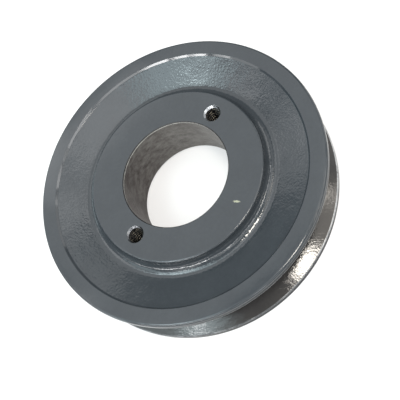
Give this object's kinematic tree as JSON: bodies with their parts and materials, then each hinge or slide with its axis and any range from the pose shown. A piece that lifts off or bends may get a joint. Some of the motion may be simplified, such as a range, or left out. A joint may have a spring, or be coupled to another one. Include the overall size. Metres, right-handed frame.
{
  "type": "v belt pulley",
  "caption": "Cast iron V-belt pulley: a grooved rim with dished sides on a round hub, with a tapered bore for a bushing and tapped holes beside it.",
  "frame": {"origin": "on the pulley's axis, in the middle of the belt groove, which is also the middle of the part's box", "axes": "+Z along the pulley's axis, out of the face that has the bore's small end; +X through one of the tapped holes"},
  "size_m": [0.108, 0.108, 0.0222],
  "materials": {
    "painted_iron": "gloss blue-grey enamel with a fine orange peel, over cast and turned iron; the tapered bore and the tapped holes are bare iron"
  },
  "bodies": {
    "root": {"pulley_casting": "painted_iron"}
  },
  "joints": []
}
